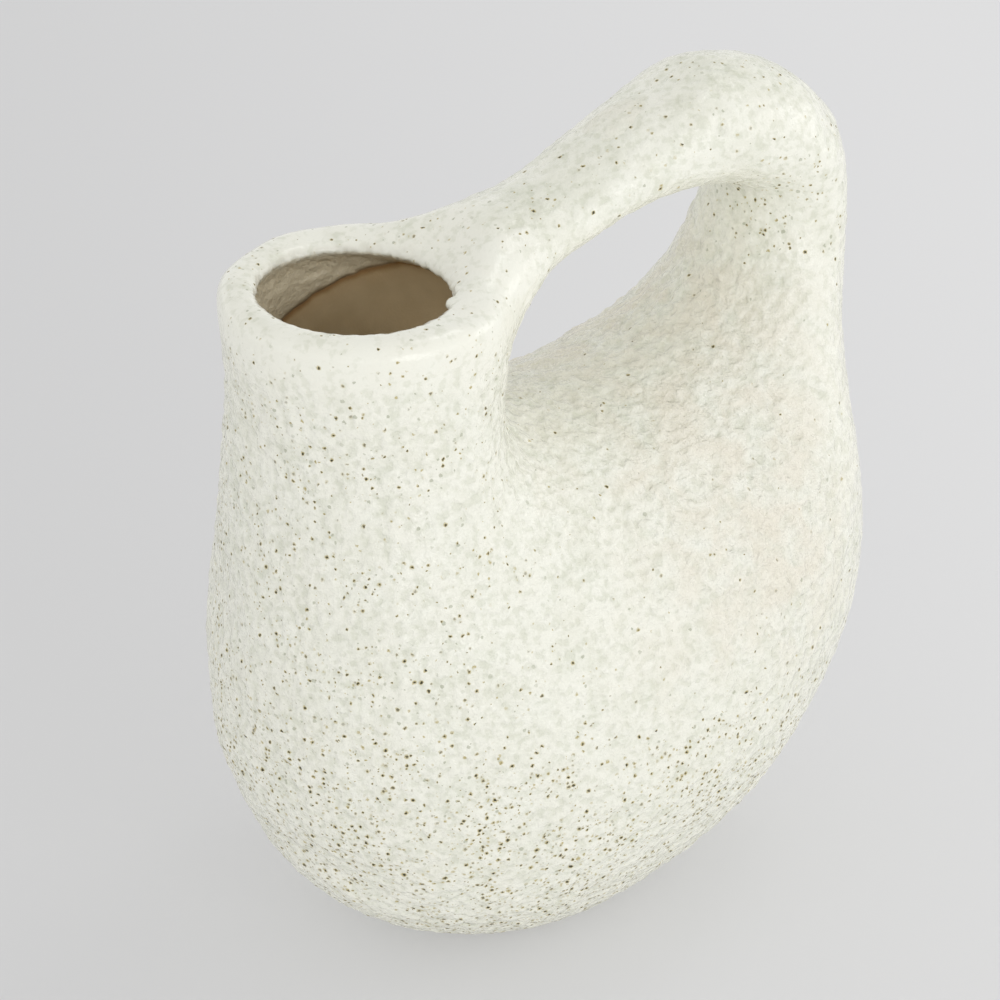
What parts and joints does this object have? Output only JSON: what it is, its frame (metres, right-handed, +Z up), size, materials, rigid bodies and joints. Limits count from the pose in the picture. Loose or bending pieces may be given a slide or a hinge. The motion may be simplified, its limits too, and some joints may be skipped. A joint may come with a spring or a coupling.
{
  "type": "botijo vase",
  "caption": "Hollow stoneware botijo vessel: rounded belly, short wide neck with a round mouth, and a thick looped handle over a finger gap.",
  "frame": {"origin": "under the middle of the vessel's box, on the surface that it stands on", "axes": "+Z up, -X towards the mouth, +X towards the handle limb, the vessel mirror-symmetric about Y = 0"},
  "size_m": [0.2364, 0.1602, 0.2833],
  "materials": {
    "glaze": "satin off-white glaze with iron specks over lumpy clay",
    "bare_clay": "unglazed matt tan stoneware"
  },
  "bodies": {
    "root": {"foot_slab": "bare_clay", "belly_bowl": "glaze", "belly_shoulder": "glaze", "neck": "glaze", "mouth_lip": "glaze", "handle_limb": "glaze", "handle_bow": "glaze"}
  },
  "joints": []
}
